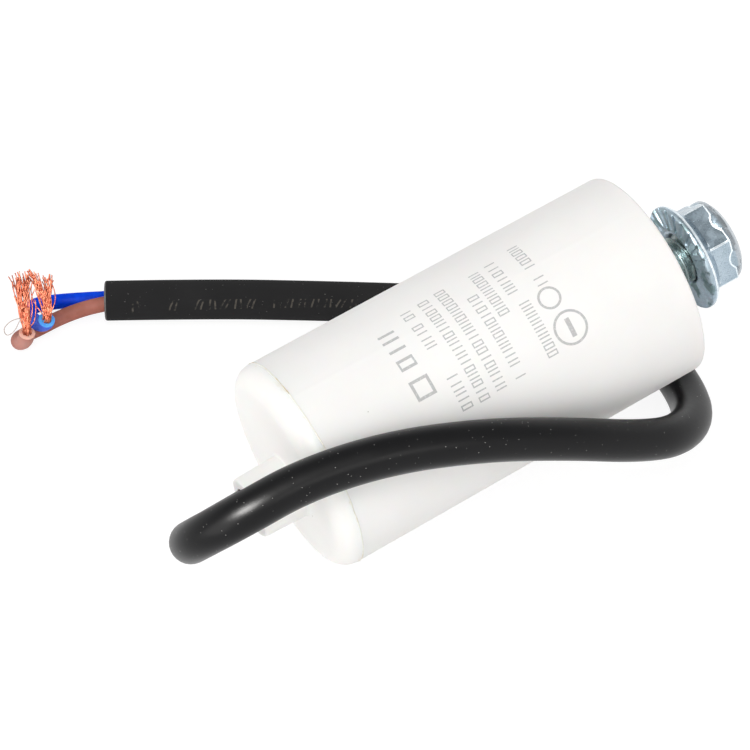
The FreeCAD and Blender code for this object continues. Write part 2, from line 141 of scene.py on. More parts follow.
class Finish:
    """A procedural material, or the world's light, written as node expressions."""

    def __init__(self, name, owner=None):
        self.material = owner or bpy.data.materials.new(name)
        self.material.use_nodes = True
        self.tree = self.material.node_tree
        self.tree.nodes.clear()
        self.place = self.node("ShaderNodeTexCoord", output="Object")

    def node(self, kind, settings=None, inputs=None, output=0):
        made = self.tree.nodes.new(kind)
        for key, value in (settings or {}).items():
            setattr(made, key, value)
        for key, value in (inputs or {}).items():
            self.fill(made.inputs[key], value)
        return Wire(self, made.outputs[output])

    def fill(self, socket, value):
        if isinstance(value, Wire):
            self.tree.links.new(value.socket, socket)
        elif isinstance(value, tuple) and len(value) == 3 and socket.type == "RGBA":
            socket.default_value = (*value, 1)
        else:
            socket.default_value = value

    def noise(self, scale, detail):
        inputs = {"Vector": self.place, "Scale": scale, "Detail": detail}
        return self.node("ShaderNodeTexNoise", None, inputs)

    def uneven(self, scale, detail, low, high):
        """A number that wanders between low and high over the surface."""
        return self.noise(scale, detail).stretch(0.3, 0.7, low, high)

    def cells(self, scale, output="Distance"):
        inputs = {"Vector": self.place, "Scale": scale}
        return self.node("ShaderNodeTexVoronoi", None, inputs, output)

    def chance(self, where):
        """A random number from 0 to 1 for each value of where."""
        return self.node("ShaderNodeTexWhiteNoise", {"noise_dimensions": "1D"}, {"W": where})

    def mix(self, factor, first, second, way="MIX"):
        """Second over first, by factor."""
        settings = {"data_type": "RGBA", "blend_type": way}
        return self.node("ShaderNodeMix", settings, {0: factor, 6: first, 7: second}, 2)

    def turned(self, centre, angles=(0, 0, 0)):
        """Object coordinates read from a centre and turned by Euler angles."""
        inputs = {"Vector": self.place, "Location": centre, "Rotation": angles}
        return self.node("ShaderNodeMapping", {"vector_type": "TEXTURE"}, inputs)

    def axes(self, where):
        return [self.node("ShaderNodeSeparateXYZ", None, {0: where}, axis) for axis in "XYZ"]

    def surface(self, bump=None, depth=None, distance=None, **inputs):
        """Ends the material in a Principled BSDF with these inputs, and a bump if given."""
        values = {key.replace("_", " "): value for key, value in inputs.items()}
        if bump is not None:
            values["Normal"] = self.node("ShaderNodeBump", None, {
                "Height": bump, "Strength": depth, "Distance": distance})
        self.end_in(self.node("ShaderNodeBsdfPrincipled", None, values))
        return self.material

    def end_in(self, shader, kind="ShaderNodeOutputMaterial"):
        made = self.tree.nodes.new(kind)
        self.tree.links.new(shader.socket, made.inputs["Surface"])


def black_pvc():
    """Black PVC with dust on it, duller behind the can, where worn strokes run along it; the dust is
    painted fainter behind the can, as painted shade on the back run.
    """
    finish = Finish("black_pvc")
    mottle = finish.noise(160, 3)
    tint = finish.mix(mottle, (0.0045, 0.0045, 0.005), (0.0075, 0.0075, 0.0085))
    run_x, run_y, run_z = finish.axes(finish.turned(BACK_RUN_START, (0, 0, BACK_RUN_TURN)))
    bow = run_x * (BACK_RUN_LENGTH - run_x) * 0.9
    height = run_y + bow - run_x * 0.01 - STROKE_OFFSET
    cell = run_x / STROKE_PITCH
    lean = finish.chance(cell.floor())
    first = (cell.part() - height * (lean - 0.5) * 900 - 0.25).size()
    second = (cell.part() - height * (lean - 0.3) * 700 - 0.65).size()
    band = (height.size() < STROKE_HEIGHT / 2) * (run_z > 0) * (lean > 0.35)
    band = band * (run_x > STROKES_FROM) * (run_x < STROKES_TO)
    worn = (first.smallest(second) < 0.07) * band * finish.noise(1300, 2).stretch(0.38, 0.6)
    tint = finish.mix(worn * 0.5, tint, (0.13, 0.115, 0.095))
    behind = finish.axes(finish.place)[1].stretch(0.0, 0.025)
    grain = finish.chance(finish.cells(1500, "Color"))
    dust = finish.cells(1500) < (grain * 0.125 - 0.02)
    # The dust is real, but it is painted fainter on the back run behind the can: painted shade.
    tint = finish.mix(dust * (0.75 - behind * 0.5), tint, (0.5, 0.49, 0.47))
    return finish.surface(
        Base_Color=tint, Roughness=finish.uneven(90, 3, 0.3, 0.36) + behind * 0.65,
        Specular_IOR_Level=0.2, bump=finish.noise(1100, 3), depth=0.1, distance=0.0001)


def round_curve(name, diameter, sides):
    """An empty curve piece with a round section and closed ends."""
    curve = bpy.data.curves.new(name, "CURVE")
    curve.dimensions = "3D"
    curve.bevel_depth = diameter / 2
    curve.bevel_resolution = sides
    curve.use_fill_caps = True
    piece = bpy.data.objects.new(name, curve)
    bpy.context.scene.collection.objects.link(piece)
    return piece


def add_spline(piece, points, steps):
    """A smooth NURBS line with these control points, added to a curve piece."""
    spline = piece.data.splines.new("NURBS")
    spline.points.add(len(points) - 1)
    for point, place in zip(spline.points, points):
        point.co = (*place, 1)
    spline.order_u = 3
    spline.use_endpoint_u = True
    spline.resolution_u = steps
    return spline


def dress(piece, material):
    """Puts the piece in one material and on the part's only body."""
    piece.data.materials.clear()
    piece.data.materials.append(material)
    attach(piece, "root")


cable = round_curve("cable", CABLE_DIAMETER, 12)
add_spline(cable, CABLE_POINTS, 28)
dress(cable, black_pvc())
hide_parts("cable_jacket")


# Cut end of the jacket: the wall's grey, slightly dusty cut face, left by the blade,
# with the two cores coming out of it.
CUT_PROUD = 0.00004
LIP_SHARE = 0.07


def select_only(*pieces):
    """Selects these pieces and nothing else, the first of them active."""
    bpy.ops.object.select_all(action="DESELECT")
    for piece in reversed(pieces):
        piece.select_set(True)
        bpy.context.view_layer.objects.active = piece


def named(piece, name):
    piece.name = name
    piece.data.name = name
    return piece


def finished(piece, name):
    """Names a new primitive and applies its place, so that its mesh carries it."""
    select_only(piece)
    bpy.ops.object.transform_apply(location=True, rotation=True, scale=True)
    return named(piece, name)


def facing(way):
    """Euler angles that turn +Z to a direction."""
    return Vector(way).to_track_quat("Z", "X").to_euler()


def blade_cut(name, place, way, outer, inner, thickness):
    """A flat cut face with a raised lip and a hollow for what comes out of it."""
    select_only()
    bpy.ops.mesh.primitive_cylinder_add(
        vertices=48, radius=outer, depth=thickness, location=place, rotation=facing(way))
    piece = bpy.context.object
    bpy.ops.object.mode_set(mode="EDIT")
    bpy.ops.mesh.select_mode(type="FACE")
    mesh = bmesh.from_edit_mesh(piece.data)
    for face in mesh.faces:
        face.select = face.normal.z > 0.9
    bmesh.update_edit_mesh(piece.data)
    bpy.ops.mesh.inset(thickness=outer * LIP_SHARE, depth=outer * 0.03)
    bpy.ops.mesh.inset(thickness=outer * (1 - LIP_SHARE) - inner)
    bpy.ops.mesh.inset(thickness=inner * 0.1, depth=-thickness * 0.6)
    bpy.ops.object.mode_set(mode="OBJECT")
    finished(piece, name)
    bpy.ops.object.shade_smooth_by_angle(angle=math.radians(35))
    return piece


def cut_pvc():
    """The same PVC where the blade went through it, greyer and smeared."""
    finish = Finish("cut_pvc")
    smear = finish.noise(2600, 4)
    tint = finish.mix(smear, (0.03, 0.03, 0.032), (0.11, 0.105, 0.1))
    return finish.surface(
        Base_Color=tint, Roughness=0.7, bump=smear, depth=0.4, distance=0.0001)


cable_end = Vector(CABLE_POINTS[-1])
cable_way = (cable_end - Vector(CABLE_POINTS[-2])).normalized()
cut_face = blade_cut(
    "cable_cut_face", cable_end + cable_way * CUT_PROUD, cable_way,
    outer=0.00322, inner=0.0021, thickness=0.0003)
dress(cut_face, cut_pvc())


# Cores: two stranded conductors in soft PVC, brown and blue, bent apart by hand and
# stripped at their ends. The cut faces are paler than the outside.
CORE_DIAMETER = 0.0025
CORE_FLARE = 1.1
BROWN_POINTS = [
    (-0.0372, 0.0531, 0.0041), (-0.0398, 0.0541, 0.0039), (-0.0430, 0.0553, 0.0034),
    (-0.0468, 0.0564, 0.0024), (-0.0506, 0.0567, 0.0016), (-0.0543, 0.0568, 0.0015),
    (-0.0549, 0.0553, 0.0021), (-0.0540, 0.0543, 0.0032), (-0.0537, 0.0542, 0.0050)]
BLUE_POINTS = [
    (-0.0362, 0.0547, 0.00270), (-0.0418, 0.0580, 0.0023), (-0.0458, 0.0602, 0.0020),
    (-0.0493, 0.0611, 0.0023), (-0.0511, 0.0592, 0.0028), (-0.0507, 0.0563, 0.0034),
    (-0.0500, 0.0549, 0.0043), (-0.0499, 0.0545, 0.0057)]


def core_pvc(name, deep, pale, elbow=(0, 0, 0), strained=None):
    """Soft coloured PVC, whitened where the core is bent hard."""
    finish = Finish(name)
    mottle = finish.noise(420, 3)
    tint = finish.mix(mottle.stretch(0.35, 0.7), deep, pale)
    if strained:
        x, y, z = finish.axes(finish.turned(elbow))
        near = (x * x + y * y + z * z).root().stretch(0.0012, 0.0036, 0.75, 0.0)
        tint = finish.mix(near, tint, strained)
    return finish.surface(
        Base_Color=tint, Roughness=finish.uneven(260, 2, 0.5, 0.6),
        Specular_IOR_Level=0.03, Subsurface_Weight=0.12, Subsurface_Scale=0.001,
        bump=finish.noise(1600, 2), depth=0.08, distance=0.0001)


def core_end(colour, points, deep, pale, strained, cut_deep, cut_pale):
    """One core, flared at the blade's cut, with its paler cut face."""
    core = round_curve("core_" + colour, CORE_DIAMETER, 8)
    add_spline(core, points, 24).points[-1].radius = CORE_FLARE
    dress(core, core_pvc(colour + "_pvc", deep, pale, points[-2], strained))
    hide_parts("core_" + colour + "_end")
    end = Vector(points[-1])
    way = (end - Vector(points[-2])).normalized()
    face = blade_cut(
        "core_" + colour + "_cut", end + way * CUT_PROUD / 2, way,
        outer=CORE_DIAMETER * CORE_FLARE * 0.49, inner=0.00078, thickness=0.0002)
    dress(face, core_pvc(colour + "_cut", cut_deep, cut_pale))
    return core, face, end, way


brown_core, brown_face, brown_end, brown_way = core_end(
    "brown", BROWN_POINTS, (0.34, 0.125, 0.093), (0.40, 0.152, 0.118), (0.54, 0.28, 0.24),
    (0.78, 0.40, 0.31), (0.88, 0.52, 0.42))
blue_core, blue_face, blue_end, blue_way = core_end(
    "blue", BLUE_POINTS, (0.001, 0.048, 0.68), (0.002, 0.075, 0.86), (0.12, 0.20, 0.72),
    (0.07, 0.33, 0.88), (0.14, 0.46, 0.95))


# Copper strands: some forty fine soft wires to a core, twisted at the root and
# splayed out by the fingers that stripped them, with a few stray ones.
STRAND_DIAMETER = 0.00019
STRAND_STEPS = 5
ROOT_RADIUS = 0.00072
ROOT_DEPTH = 0.0003
LOCK_RADIUS = 0.00056
STRAND_WANDER = 0.0001
LOOP_DIAMETER = 0.00016


def copper():
    """Bare copper, a little tarnished."""
    finish = Finish("copper")
    tone = finish.noise(1900, 3)
    tint = finish.mix(tone.stretch(0.38, 0.62), (0.29, 0.06, 0.03), (0.60, 0.205, 0.12))
    return finish.surface(
        Base_Color=tint, Roughness=finish.uneven(1500, 2, 0.4, 0.55), Metallic=0.5,
        Specular_IOR_Level=0.15)


def tinned():
    """The stray wire's dull, greyer skin."""
    finish = Finish("dull_wire")
    tone = finish.noise(1200, 2)
    return finish.surface(
        Base_Color=finish.mix(tone, (0.28, 0.22, 0.19), (0.44, 0.36, 0.32)), Roughness=0.6, Metallic=0.2)


def tuft(name, root, way, locks, strays, draws):
    """Loose strands: locks are (count, spread, guide points), strays are single lines."""
    piece = round_curve(name, STRAND_DIAMETER, 1)
    side = way.orthogonal().normalized()
    other = way.cross(side)
    for count, spread, guide in locks:
        guide = [Vector(point) for point in guide]
        for index in range(count):
            angle = draws.uniform(0, 2 * math.pi)
            reach = math.sqrt(draws.random())
            twist = draws.uniform(1.2, 2.2)
            start = root + (side * math.cos(angle) + other * math.sin(angle)) * reach * ROOT_RADIUS
            line = [start - way * ROOT_DEPTH, start + way * draws.uniform(0.0005, 0.0009)]
            for step, point in enumerate(guide):
                share = (step + 1) / len(guide)
                turn = angle + twist * share * 2.2
                offset = side * math.cos(turn) + other * math.sin(turn)
                wander = Vector([draws.gauss(0, 1) for _ in range(3)]) * STRAND_WANDER * share
                line.append(point + offset * reach * (LOCK_RADIUS + spread * share) + wander)
            last = line[-1] - line[-2]
            line[-1] += last * draws.uniform(-0.35, 0.2)
            add_spline(piece, line, STRAND_STEPS)
    for guide in strays:
        add_spline(piece, [root, *guide], STRAND_STEPS)
    return piece


copper_finish = copper()
brown_locks = [
    (16, 0.0004, [(-0.0532, 0.0555, 0.0066), (-0.0524, 0.0576, 0.0082), (-0.0519, 0.0594, 0.0095),
                  (-0.0512, 0.0608, 0.0109)]),
    (9, 0.0003, [(-0.0535, 0.0556, 0.0066), (-0.0530, 0.0578, 0.0081), (-0.0524, 0.0597, 0.0095),
                 (-0.0518, 0.0610, 0.0108)]),
    (13, 0.0004, [(-0.0531, 0.0553, 0.0067), (-0.0520, 0.0573, 0.0082), (-0.0509, 0.0590, 0.0097),
                  (-0.0498, 0.0603, 0.0110)])]
brown_strays = [
    [(-0.0536, 0.0548, 0.0060), (-0.0531, 0.0570, 0.0074), (-0.0519, 0.0571, 0.0081),
     (-0.0524, 0.0582, 0.0086)],
    [(-0.0530, 0.0543, 0.0062), (-0.0521, 0.0544, 0.0066), (-0.0510, 0.0557, 0.0075),
     (-0.0504, 0.0570, 0.0086)],
    [(-0.05215, 0.05553, 0.00816), (-0.05224, 0.05669, 0.00892),
     (-0.05370, 0.05633, 0.00831), (-0.05331, 0.05859, 0.00978)],
    [(-0.05282, 0.05442, 0.00686), (-0.05145, 0.05580, 0.00838),
     (-0.05097, 0.05746, 0.00947), (-0.04948, 0.05801, 0.01035)],
    [(-0.0530, 0.0560, 0.0070), (-0.0520, 0.0590, 0.0100), (-0.0508, 0.0612, 0.0118)]]
brown_strands = tuft(
    "strands_brown_core", brown_end, brown_way, brown_locks, brown_strays, random.Random(11))
dress(brown_strands, copper_finish)
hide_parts("strands_brown")

blue_locks = [
    (17, 0.0004, [(-0.0497, 0.0552, 0.0068), (-0.0491, 0.0567, 0.0080), (-0.0490, 0.0588, 0.0094),
                  (-0.0491, 0.0606, 0.0106)]),
    (11, 0.0005, [(-0.0494, 0.0551, 0.0068), (-0.0485, 0.0566, 0.0080), (-0.0477, 0.0578, 0.0092),
                  (-0.0471, 0.0586, 0.0100)]),
    (7, 0.0003, [(-0.0491, 0.0549, 0.0069), (-0.0477, 0.0562, 0.0081), (-0.0473, 0.0576, 0.0092),
                 (-0.0472, 0.0586, 0.0099)])]
blue_strays = [
    [(-0.0495, 0.0553, 0.0068), (-0.0484, 0.0578, 0.0088), (-0.0480, 0.0603, 0.0106)],
    [(-0.0493, 0.0552, 0.0068), (-0.0478, 0.0577, 0.0090), (-0.0465, 0.0592, 0.0105)],
    [(-0.0492, 0.0551, 0.0068), (-0.0477, 0.0573, 0.0088), (-0.0462, 0.0588, 0.0103)],
    [(-0.0500, 0.0550, 0.0063), (-0.0506, 0.0573, 0.0075), (-0.0502, 0.0592, 0.0090),
     (-0.0493, 0.0598, 0.0098)]]
blue_strands = tuft(
    "strands_blue_core", blue_end, blue_way, blue_locks, blue_strays, random.Random(23))
dress(blue_strands, copper_finish)
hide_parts("strands_blue")

# The one fine wire that is bent into a loop beside the brown core.
loop_wire = round_curve("strand_loop", LOOP_DIAMETER, 1)
add_spline(loop_wire, [
    (-0.05351, 0.05577, 0.00685), (-0.05388, 0.05605, 0.00715), (-0.05529, 0.05650, 0.00686),
    (-0.05692, 0.05631, 0.00605), (-0.05692, 0.05513, 0.00524), (-0.05539, 0.05503, 0.00581),
    (-0.05403, 0.05580, 0.00691), (-0.05333, 0.05607, 0.00714)], 8)
dress(loop_wire, tinned())


# Case: an injection-moulded polypropylene can, off-white and satin, with faint grey
# ink on its side: plain rows of bars and boxes, two rings, a bar and a block.
CAN_START = (-0.0368217, 0.0, 0.0168465)
CAN_TILT = math.radians(5.90202)
CASE_RADIUS = 0.0171
INK_LEAST_RADIUS = 0.0165
INK_STROKE = 0.09
INK_RINGS = [(0.0461, 128.5, 0.0028, 9.4, 0.92, 0.07), (0.0455, 110, 0.0021, 7.0, 0.8, 0.09)]
INK_BAR = (0.0461, 128.5, 0.000392, 5.17)
INK_BLOCK = (0.0212, 119, 0.0014, 0.00024)
INK_ROWS = [
    (0.0211, 82, 3, 0.0028, 8.8), (0.0258, 75, 7, 0.0018, 4.1), (0.0260, 115, 6, 0.0019, 4.2),
    (0.0290, 75, 16, 0.0018, 4.1), (0.0321, 74, 16, 0.0018, 4.1), (0.0356, 88, 13, 0.0018, 4.0),
    (0.0382, 75, 9, 0.0018, 4.0), (0.0412, 73, 6, 0.0018, 4.3), (0.0417, 105, 8, 0.0018, 4.1),
    (0.0459, 71, 8, 0.0018, 4.1)]


def can_axes(finish):
    """Distance along the can from the cap, angle round it in degrees, and radius."""
    along, across, up = finish.axes(finish.turned(CAN_START, (0, -CAN_TILT, 0)))
    angle = across.maths("ARCTAN2", up, across) * math.degrees(1)
    radius = (across * across + up * up).root()
    return along, angle, radius


def ink_mask(finish, along, angle):
    """Rows of small bars and boxes round the can, two rings, a bar and a block.

    A row is (distance along the can, first angle, count, height, pitch in degrees), a
    ring is (distance, angle, reach along, reach in degrees, radius and stroke in shares
    of that reach), the bar is (distance, angle, half width, half length in degrees) and
    the block is (distance, angle, half side, half stroke)."""
    mask = None
    for row, (station, first, count, height, pitch) in enumerate(INK_ROWS):
        cell = (angle - first) / pitch
        kind = finish.chance(cell.floor() + 17.3 * row)
        side = (cell.part() - 0.5).size()
        end = (along - station).size() / (height / 2)
        inside = (side < 0.36) * (end < 1) * (cell > 0) * (cell < count) * (kind > 0.08)
        spine = (side < INK_STROKE) * (kind < 0.36)
        legs = ((side - 0.27).size() < INK_STROKE) * (kind > 0.36)
        ends = (end > 1 - 2 * INK_STROKE * 1.2) * (kind > 0.66)
        strokes = spine.largest(legs).largest(ends) * inside
        mask = strokes if mask is None else mask.largest(strokes)
    for station, degrees, reach_along, reach_round, radius, stroke in INK_RINGS:
        x = (along - station) / reach_along
        y = (angle - degrees) / reach_round
        mask = mask.largest(((x * x + y * y).root() - radius).size() < stroke)
    station, degrees, half_width, half_length = INK_BAR
    bar = ((along - station).size() < half_width) * ((angle - degrees).size() < half_length)
    station, degrees, half_side, half_stroke = INK_BLOCK
    x = (along - station).size()
    y = (angle - degrees).size() * math.radians(CASE_RADIUS)
    block = (x.largest(y) - half_side).size() < half_stroke
    return mask.largest(bar).largest(block)


def specks(finish, scale, size, rarity):
    """A few dark dots in the moulding, one in some of the cells of a scatter."""
    return (finish.cells(scale) < size) * (finish.chance(finish.cells(scale, "Color")) > rarity)


def case_plastic():
    """Warm off-white plastic with thin, slightly worn ink and a few specks."""
    finish = Finish("case_plastic")
    along, angle, radius = can_axes(finish)
    cloud = finish.noise(55, 3)
    tint = finish.mix(cloud.stretch(0.3, 0.7), (0.872, 0.853, 0.838), (0.902, 0.883, 0.868))
    warm = finish.noise(28, 2).stretch(0.5, 0.75)
    tint = finish.mix(warm * 0.6, tint, (0.90, 0.865, 0.84))
    worn = finish.noise(3800, 3).stretch(0.28, 0.5, 0.6, 1.0)
    ink = ink_mask(finish, along, angle) * worn * (radius > INK_LEAST_RADIUS)
    tint = finish.mix(ink * 0.85, tint, (0.43, 0.43, 0.435))
    tint = finish.mix(specks(finish, 230, 0.035, 0.975) * 0.6, tint, (0.30, 0.27, 0.24))
    return finish.surface(
        Base_Color=tint, Roughness=finish.uneven(120, 3, 0.42, 0.52),
        Specular_IOR_Level=0.1, Subsurface_Weight=0.1, Subsurface_Scale=0.004,
        bump=finish.noise(700, 4), depth=0.06, distance=0.0002)


def dress_node(name, material):
    """Puts a CAD node's own mesh in a better material."""
    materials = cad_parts[name].data.materials
    materials.clear()
    materials.append(material)


dress_node("case", case_plastic())


# Cap: a moulded cover in a slightly whiter polypropylene with a large rounded edge
# and the boss for the cable, plugged into the mouth of the case and glued.
CAP_STAIN_START = 0.0028


def cap_plastic():
    """Whiter plastic, stained by glue near the joint."""
    finish = Finish("cap_plastic")
    along, angle, radius = can_axes(finish)
    cloud = finish.noise(60, 3)
    tint = finish.mix(cloud.stretch(0.3, 0.7), (0.90, 0.882, 0.862), (0.93, 0.915, 0.895))
    stain = (along > CAP_STAIN_START) * finish.noise(420, 4).stretch(0.5, 0.68)
    tint = finish.mix(stain * 0.35, tint, (0.74, 0.62, 0.40))
    tint = finish.mix(specks(finish, 260, 0.04, 0.97) * 0.5, tint, (0.35, 0.30, 0.25))
    return finish.surface(
        Base_Color=tint, Roughness=finish.uneven(140, 3, 0.4, 0.5),
        Specular_IOR_Level=0.12, Subsurface_Weight=0.12, Subsurface_Scale=0.004,
        bump=finish.noise(520, 4), depth=0.08, distance=0.0002)


dress_node("end_cap", cap_plastic())


# Glue: a thin film between the cap's spigot and the case, squeezed out in a low,
# uneven bead along the joint, yellowed in places.
CAN_PLACE = Matrix.Translation(CAN_START) @ Matrix.Rotation(-CAN_TILT, 4, "Y")
JOINT_STATION = 0.0035
JOINT_RADIUS = 0.01725
BEAD_RADIUS = 0.00009
BEAD_SWELL = 0.00007
BEAD_BUMPS = 0.00004
BEAD_WANDER = 0.00005


def glue():
    """Clear glue, yellow with age and with some dirt caught in it."""
    finish = Finish("joint_glue")
    age = finish.noise(340, 4)
    tint = finish.mix(age.stretch(0.45, 0.68), (0.86, 0.83, 0.74), (0.60, 0.46, 0.25))
    dirt = finish.noise(1500, 3).stretch(0.64, 0.72)
    tint = finish.mix(dirt * 0.8, tint, (0.20, 0.15, 0.10))
    return finish.surface(
        Base_Color=tint, Roughness=0.3, Subsurface_Weight=0.1, Subsurface_Scale=0.001,
        bump=age, depth=0.2, distance=0.0002)


glue_finish = glue()
dress_node("cap_glue", glue_finish)
select_only()
bpy.ops.mesh.primitive_torus_add(
    major_segments=220, minor_segments=8, major_radius=JOINT_RADIUS, minor_radius=BEAD_RADIUS,
    rotation=(0, math.radians(90), 0))
bead = finished(bpy.context.object, "glue_bead")
for vertex in bead.data.vertices:
    spot = Vector(vertex.co)
    out = Vector((0, spot.y, spot.z)).normalized()
    swell = noise.noise(spot * 420) * BEAD_SWELL + noise.noise(spot * 1300) * BEAD_BUMPS
    station = JOINT_STATION + noise.noise(spot * 700) * BEAD_WANDER
    vertex.co = spot + out * swell + Vector((station, 0, 0))
bead.data.transform(CAN_PLACE)
for vertex in bead.data.vertices:
    vertex.co.z = max(vertex.co.z, 0.0)
bpy.ops.object.shade_smooth()
dress(bead, glue_finish)


# Inside the can, unseen: the film roll on its tube, sprayed ends, wrap, resin,
# the two leads with their bare ends, and the solder that joins them.
ROUGHNESS_SPREAD = 0.06


def plain_finish(name, deep, pale, scale, roughness, metallic=0.0, depth=0.1):
    """One grain for the colour, the gloss and the bump."""
    finish = Finish(name)
    grain = finish.noise(scale, 3)
    gloss = grain.stretch(0.3, 0.7, roughness - ROUGHNESS_SPREAD, roughness + ROUGHNESS_SPREAD)
    return finish.surface(
        Base_Color=finish.mix(grain, deep, pale), Roughness=gloss, Metallic=metallic,
        bump=grain, depth=depth, distance=0.0001)


dress_node("film_winding", plain_finish(
    "winding_film", (0.42, 0.43, 0.45), (0.62, 0.63, 0.65), 900, 0.3, 0.6))
dress_node("winding_core_tube", plain_finish(
    "tube_plastic", (0.58, 0.57, 0.53), (0.66, 0.65, 0.60), 300, 0.5))
spray = plain_finish("zinc_spray", (0.26, 0.27, 0.28), (0.46, 0.47, 0.48), 2200, 0.75, 0.7, 0.6)
dress_node("end_spray_cap_side", spray)
dress_node("end_spray_stud_side", spray)
dress_node("winding_wrap", plain_finish(
    "wrap_tape", (0.66, 0.60, 0.40), (0.74, 0.68, 0.48), 500, 0.25))
dress_node("potting_resin", plain_finish(
    "resin", (0.48, 0.43, 0.30), (0.60, 0.55, 0.40), 200, 0.22))
dress_node("lead_blue", core_pvc("lead_blue_pvc", (0.006, 0.045, 0.50), (0.010, 0.075, 0.62)))
dress_node("lead_brown", core_pvc("lead_brown_pvc", (0.34, 0.125, 0.095), (0.40, 0.155, 0.12)))
for name in ("conductor_blue", "conductor_brown"):
    dress_node(name, copper_finish)
solder = plain_finish("solder", (0.50, 0.51, 0.52), (0.66, 0.67, 0.68), 700, 0.3, 0.9, 0.3)
dress_node("solder_blue", solder)
dress_node("solder_brown", solder)


# Stud: a steel M8 bolt whose head is moulded into the base, zinc plated, with a
# rolled thread of 1.25 mm pitch along all of it that shows.
CAN_LENGTH = 0.0663
STUD_CENTRE = (0.0, -0.000525, -0.000604)
STUD_FOOT = Vector(STUD_CENTRE) + Vector((CAN_LENGTH, 0, 0))
STUD_RADIUS = 0.004
STUD_REACH = 0.0152
STUD_CHAMFER = 0.0008
SHANK_END = -0.0002
OVERLAP = 0.0005
END_BEVEL = 0.0003
THREAD_PITCH = 0.00125
THREAD_ROOT = 0.00334
THREAD_START = -0.0006
THREAD_TURNS = 12
THREAD_STEPS = 40
CREST_SHARE = 0.16
FOOT_SHARE = 0.96
RIDGE_SINK = 0.00006
RIDGE_SHORT = 0.0001
HEAD_FLATS = 0.013
HEAD_START = -0.007
HEAD_END = -0.003
FLANGE_STATION = 0.07335
CROWN_STATIONS = (0.0790, 0.0794)


def zinc(name, deep, pale, worn=0.0):
    """Zinc plate: bluish, with fine pits that sparkle and a few dark teal stains. Under the flange the
    stains are painted heavier and its upper part darker, as painted shade, and it is duller there; it is
    plainer grey on the crown and the stud's end."""
    finish = Finish(name)
    cloud = finish.noise(230, 4)
    pits = finish.noise(3800, 3)
    tint = finish.mix(cloud.stretch(0.35, 0.65), deep, pale)
    tint = finish.mix(pits.stretch(0.5, 0.66) * 0.3, tint, (0.30, 0.34, 0.36), "MULTIPLY")
    along, angle, radius = can_axes(finish)
    under = (along < FLANGE_STATION) * (radius > STUD_RADIUS * 1.05)
    # The teal stains are real, but they are painted heavier under the flange, as painted shade.
    stain = finish.noise(330, 3).stretch(0.54, 0.62) * (0.15 + under * 0.75)
    tint = finish.mix(stain, tint, (0.16, 0.24, 0.25))
    # Painted shade: the upper part of the flange's underside is darkened.
    high = finish.axes(finish.place)[2].stretch(0.022, 0.030)
    tint = finish.mix(under * high * 0.45, tint, (0.20, 0.25, 0.26))
    tint = finish.mix(along.stretch(*CROWN_STATIONS) * 0.5, tint, (0.56, 0.565, 0.57))
    return finish.surface(
        Base_Color=tint, Roughness=finish.uneven(600, 3, 0.2, 0.34) + under * 0.28 + worn, Metallic=0.92,
        bump=finish.noise(2400, 3), depth=0.2, distance=0.00006)


def joined(pieces, name):
    """Several pieces made one object, the first of them."""
    select_only(*pieces)
    bpy.ops.object.join()
    return named(pieces[0], name)


def rod(name, radius, start, end, corners=48, edge=0.0):
    """A round or cornered bar along Z, its far edge bevelled."""
    select_only()
    bpy.ops.mesh.primitive_cylinder_add(
        vertices=corners, radius=radius, depth=end - start, location=(0, 0, (start + end) / 2))
    bar = finished(bpy.context.object, name)
    if edge:
        bpy.ops.object.mode_set(mode="EDIT")
        bpy.ops.mesh.select_mode(type="EDGE")
        mesh = bmesh.from_edit_mesh(bar.data)
        for line in mesh.edges:
            line.select = all(vertex.co.z > end - 1e-6 for vertex in line.verts)
        bmesh.update_edit_mesh(bar.data)
        bpy.ops.mesh.bevel(offset=edge, segments=2)
        bpy.ops.object.mode_set(mode="OBJECT")
    return bar


def thread_ridge():
    """The thread's ridge: a small trapezium screwed round the bar, its ends closed and
    its crest cut down to the stud's chamfer."""
    select_only()
    bpy.ops.mesh.primitive_plane_add(size=1, location=(0, 0, 0), rotation=(math.radians(90), 0, 0))
    ridge = finished(bpy.context.object, "thread_ridge")
    for vertex in ridge.data.vertices:
        crest = vertex.co.x > 0
        width = THREAD_PITCH * (CREST_SHARE if crest else FOOT_SHARE)
        side = 1 if vertex.co.z > 0 else -1
        reach = STUD_RADIUS if crest else THREAD_ROOT - RIDGE_SINK
        vertex.co = (reach, 0, side * width / 2 + THREAD_START)
    bpy.ops.object.mode_set(mode="EDIT")
    bpy.ops.mesh.select_all(action="SELECT")
    bpy.ops.mesh.delete(type="ONLY_FACE")
    bpy.ops.object.mode_set(mode="OBJECT")
    screw = ridge.modifiers.new("screw", "SCREW")
    screw.axis = "Z"
    screw.angle = 2 * math.pi
    screw.screw_offset = THREAD_PITCH
    screw.iterations = THREAD_TURNS
    screw.steps = screw.render_steps = THREAD_STEPS
    bpy.ops.object.modifier_apply(modifier="screw")
    bpy.ops.object.mode_set(mode="EDIT")
    bpy.ops.mesh.select_all(action="SELECT")
    bpy.ops.mesh.remove_doubles(threshold=1e-7)
    bpy.ops.mesh.fill_holes(sides=8)
    bpy.ops.mesh.select_all(action="SELECT")
    bpy.ops.mesh.normals_make_consistent(inside=False)
    bpy.ops.object.mode_set(mode="OBJECT")
    for vertex in ridge.data.vertices:
        reach = math.hypot(vertex.co.x, vertex.co.y)
        most = STUD_RADIUS - max(0.0, vertex.co.z - STUD_REACH + STUD_CHAMFER)
        if reach > most:
            vertex.co.x *= most / reach
            vertex.co.y *= most / reach
            vertex.co.z = min(vertex.co.z, STUD_REACH - RIDGE_SHORT)
    return ridge


